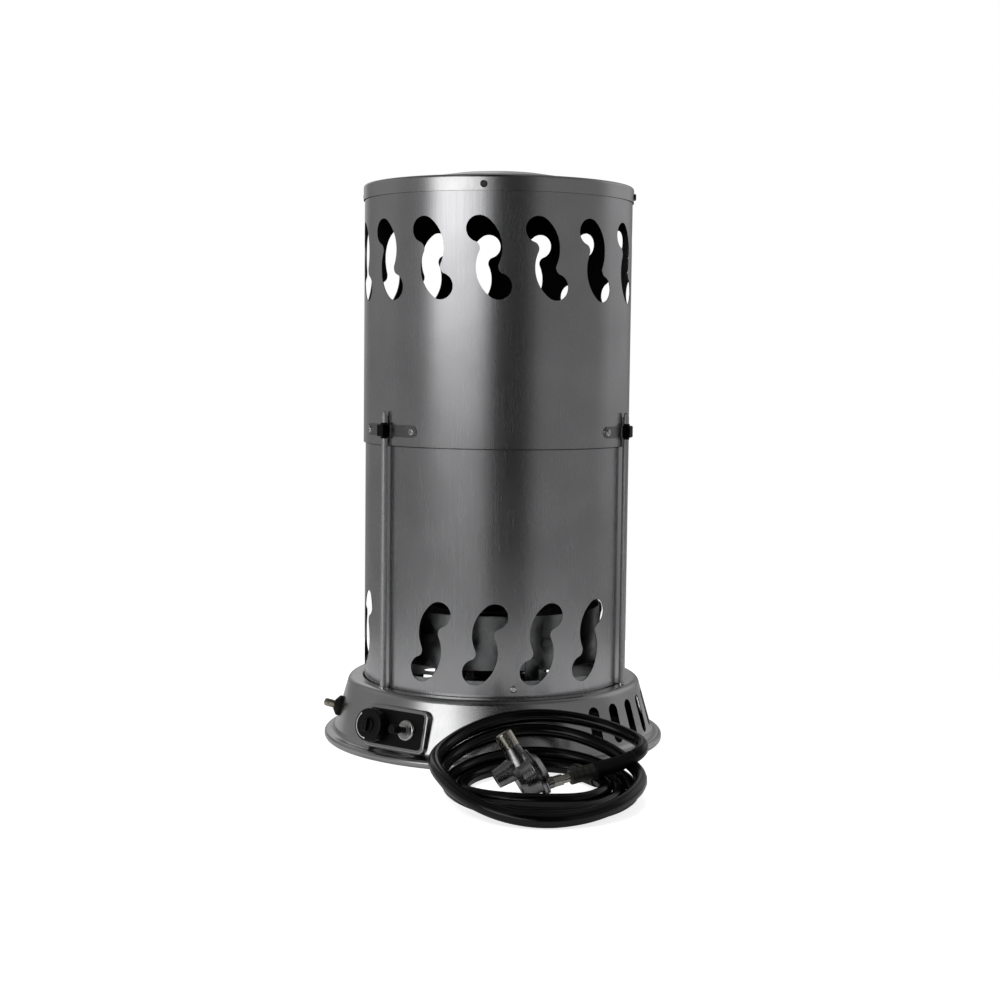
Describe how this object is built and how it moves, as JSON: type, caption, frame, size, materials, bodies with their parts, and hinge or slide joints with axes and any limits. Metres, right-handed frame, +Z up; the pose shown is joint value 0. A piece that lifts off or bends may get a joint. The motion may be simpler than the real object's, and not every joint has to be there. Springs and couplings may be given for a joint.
{
  "type": "portable propane convection heater",
  "caption": "Drum-shaped portable gas heater with a flared vented base, a sliding perforated drum on guide rods, controls and a loose hose with regulator.",
  "frame": {"origin": "centre of the base's rolled lip on the floor, on the drum's axis", "axes": "+Z up along the drum; -Y is the front, on the side of the coiled hose; +X to its right"},
  "size_m": [0.36, 0.5678, 0.592],
  "materials": {
    "polished_steel": "bright pressed",
    "bright_steel": "bright rolled",
    "galvanised_steel": "spangled zinc",
    "stainless_steel": "heat tinted",
    "plated_screws": "bright zinc",
    "plated_rod": "bright zinc",
    "dark_screws": "black oxide",
    "blackened_spring": "black oxide",
    "spring_steel": "drawn wire",
    "cast_iron": "as cast",
    "brass": "turned",
    "brass_ferrule": "crimped",
    "copper_lead": "drawn",
    "valve_casting": "die cast",
    "regulator_casting": "die cast",
    "aluminium_tube": "drawn",
    "black_enamel": "gloss enamel",
    "black_plastic": "moulded",
    "black_rubber": "moulded",
    "hose_rubber": "smooth extruded"
  },
  "bodies": {
    "heater": {"base_pan": "polished_steel", "burner_deck": "galvanised_steel", "burner_head": "cast_iron", "burner_screws": "plated_screws", "burner_tube": "aluminium_tube", "button_spring": "spring_steel", "control_plate": "black_enamel", "control_valve": "valve_casting", "drum_brackets": "galvanised_steel", "drum_ring": "galvanised_steel", "flame_spreader": "stainless_steel", "gas_inlet": "brass", "guide_rod_1": "plated_rod", "guide_rod_2": "plated_rod", "guide_rod_3": "plated_rod", "hose_coil": "hose_rubber", "hose_nut_run": "hose_rubber", "hose_regulator_run": "hose_rubber", "inlet_grommet": "black_rubber", "inlet_nipple": "brass", "knob_nut": "plated_screws", "lower_shell": "bright_steel", "lower_shell_screws": "plated_screws", "nut_ferrule": "brass_ferrule", "orifice_block": "brass", "orifice_carrier": "galvanised_steel", "outlet_fitting": "brass", "regulator_body": "regulator_casting", "regulator_cover": "regulator_casting", "regulator_diaphragm": "black_rubber", "regulator_ferrule": "brass_ferrule", "regulator_spring": "spring_steel", "rod_washers": "plated_screws", "safety_valve": "valve_casting", "safety_valve_nut": "plated_screws", "spreader_posts": "plated_screws", "supply_tube": "aluminium_tube", "swivel_tail": "brass", "thermocouple": "stainless_steel", "thermocouple_bracket": "galvanised_steel", "thermocouple_lead": "copper_lead", "valve_link": "brass", "venturi_tube": "cast_iron"},
    "knob": {"heat_knob": "black_plastic", "valve_stem": "brass"},
    "button": {"gas_button": "black_plastic"},
    "upper_drum": {"upper_shell": "bright_steel", "rod_strap_1": "polished_steel", "rod_strap_2": "polished_steel", "rod_strap_3": "polished_steel", "strap_rivets": "plated_screws", "rod_clips": "blackened_spring", "top_cap": "polished_steel", "cap_screws": "dark_screws"},
    "cylinder_nut_body": {"cylinder_nut": "brass"},
    "swivel_nut_body": {"swivel_nut": "brass"}
  },
  "joints": [
    {"name": "drum_slide", "type": "slide", "parent": "heater", "child": "upper_drum", "axis": [0, 0, 1], "range_m": [-0.2155, 0]},
    {"name": "knob_turn", "type": "hinge", "parent": "heater", "child": "knob", "pos_m": [-0.11595, -0.12046, 0.033], "axis": [-0.5715, -0.7867, 0.2334], "range_deg": [0, 270]},
    {"name": "button_press", "type": "slide", "parent": "heater", "child": "button", "axis": [0.5715, 0.7867, -0.2334], "range_m": [0, 0.007], "stiffness_N_per_m": 1500, "springref_m": -0.004},
    {"name": "cylinder_nut_turn", "type": "hinge", "parent": "heater", "child": "cylinder_nut_body", "pos_m": [0.0114, -0.25916, 0.05277], "axis": [-0.5239, 0.2144, 0.8243], "continuous": true},
    {"name": "swivel_nut_turn", "type": "hinge", "parent": "heater", "child": "swivel_nut_body", "pos_m": [0.08023, -0.20735, 0.009], "axis": [-0.5, 0.866, 0], "continuous": true}
  ]
}
